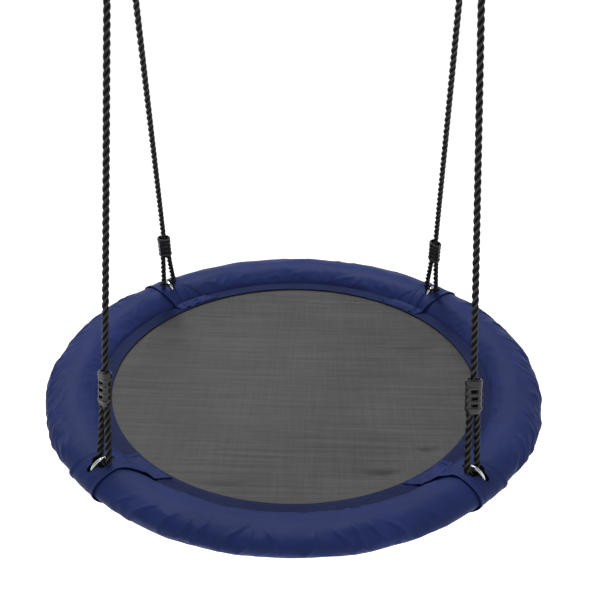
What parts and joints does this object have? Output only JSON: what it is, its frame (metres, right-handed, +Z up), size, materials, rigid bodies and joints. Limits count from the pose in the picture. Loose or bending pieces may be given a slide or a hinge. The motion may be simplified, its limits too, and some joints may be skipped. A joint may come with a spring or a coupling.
{
  "type": "saucer nest swing",
  "caption": "Round saucer nest swing: padded cloth-covered steel ring with a woven mesh mat, hung by four adjustable ropes from two steel rings.",
  "frame": {"origin": "midway between the centres of the two hanging rings, where hooks hold the swing up", "axes": "+Z up, +X to the right seen from the front, -Y to the front; the swing swings fore and aft about a line along X"},
  "size_m": [1.0128, 1.0128, 1.0356],
  "materials": {
    "navy_cloth": "coated polyester cloth, navy, satin, gathered and stitched",
    "grey_mesh": "dark grey woven mesh, slight sheen",
    "black_foam": "closed-cell foam, dark grey, matt",
    "black_steel": "black powder coat over steel tube",
    "zinc_steel": "bright zinc-plated steel",
    "black_rope": "black three-strand twisted polyethylene rope, satin",
    "black_plastic": "black moulded plastic, satin gloss"
  },
  "bodies": {
    "hangers": {"hanging_ring_left": "zinc_steel", "hanging_ring_right": "zinc_steel"},
    "seat": {"frame_tube_front": "black_steel", "frame_tube_right": "black_steel", "frame_tube_back": "black_steel", "frame_tube_left": "black_steel", "joint_bolts": "zinc_steel", "joint_nuts": "zinc_steel", "foam_sleeve_front": "black_foam", "foam_sleeve_right": "black_foam", "foam_sleeve_back": "black_foam", "foam_sleeve_left": "black_foam", "cover_panel_front": "navy_cloth", "cover_panel_right": "navy_cloth", "cover_panel_back": "navy_cloth", "cover_panel_left": "navy_cloth", "corner_cuff_front_left": "navy_cloth", "corner_cuff_front_right": "navy_cloth", "corner_cuff_back_right": "navy_cloth", "corner_cuff_back_left": "navy_cloth", "hem_band": "navy_cloth", "mesh_mat": "grey_mesh", "rope_front_left": "black_rope", "rope_front_right": "black_rope", "rope_back_right": "black_rope", "rope_back_left": "black_rope", "rope_ferrule_front_left": "black_plastic", "rope_ferrule_front_right": "black_plastic", "rope_ferrule_back_right": "black_plastic", "rope_ferrule_back_left": "black_plastic"},
    "ring_front_left": {"frame_ring_front_left": "zinc_steel"},
    "adjuster_front_left": {"rope_adjuster_front_left": "black_plastic"},
    "ring_front_right": {"frame_ring_front_right": "zinc_steel"},
    "adjuster_front_right": {"rope_adjuster_front_right": "black_plastic"},
    "ring_back_right": {"frame_ring_back_right": "zinc_steel"},
    "adjuster_back_right": {"rope_adjuster_back_right": "black_plastic"},
    "ring_back_left": {"frame_ring_back_left": "zinc_steel"},
    "adjuster_back_left": {"rope_adjuster_back_left": "black_plastic"}
  },
  "joints": [
    {"name": "swing", "type": "hinge", "parent": "hangers", "child": "seat", "pos_m": [0, 0, -0.02773], "axis": [1, 0, 0], "range_deg": [-45, 45]},
    {"name": "ring_pivot_front_left", "type": "hinge", "parent": "seat", "child": "ring_front_left", "pos_m": [-0.32951, -0.32951, -0.97773], "axis": [0.7071, -0.7071, 0], "range_deg": [-12, 12]},
    {"name": "ring_pivot_front_right", "type": "hinge", "parent": "seat", "child": "ring_front_right", "pos_m": [0.32951, -0.32951, -0.97773], "axis": [0.7071, 0.7071, 0], "range_deg": [-12, 12]},
    {"name": "ring_pivot_back_right", "type": "hinge", "parent": "seat", "child": "ring_back_right", "pos_m": [0.32951, 0.32951, -0.97773], "axis": [-0.7071, 0.7071, 0], "range_deg": [-12, 12]},
    {"name": "ring_pivot_back_left", "type": "hinge", "parent": "seat", "child": "ring_back_left", "pos_m": [-0.32951, 0.32951, -0.97773], "axis": [-0.7071, -0.7071, 0], "range_deg": [-12, 12]},
    {"name": "adjuster_slide_front_left", "type": "slide", "parent": "seat", "child": "adjuster_front_left", "axis": [0.0381, 0.3315, 0.9427], "range_m": [-0.03, 0.1], "deforming": ["rope_front_left"]},
    {"name": "adjuster_slide_front_right", "type": "slide", "parent": "seat", "child": "adjuster_front_right", "axis": [-0.0381, 0.3315, 0.9427], "range_m": [-0.03, 0.1], "deforming": ["rope_front_right"]},
    {"name": "adjuster_slide_back_right", "type": "slide", "parent": "seat", "child": "adjuster_back_right", "axis": [-0.0552, -0.331, 0.942], "range_m": [-0.03, 0.1], "deforming": ["rope_back_right"]},
    {"name": "adjuster_slide_back_left", "type": "slide", "parent": "seat", "child": "adjuster_back_left", "axis": [0.0552, -0.331, 0.942], "range_m": [-0.03, 0.1], "deforming": ["rope_back_left"]}
  ]
}
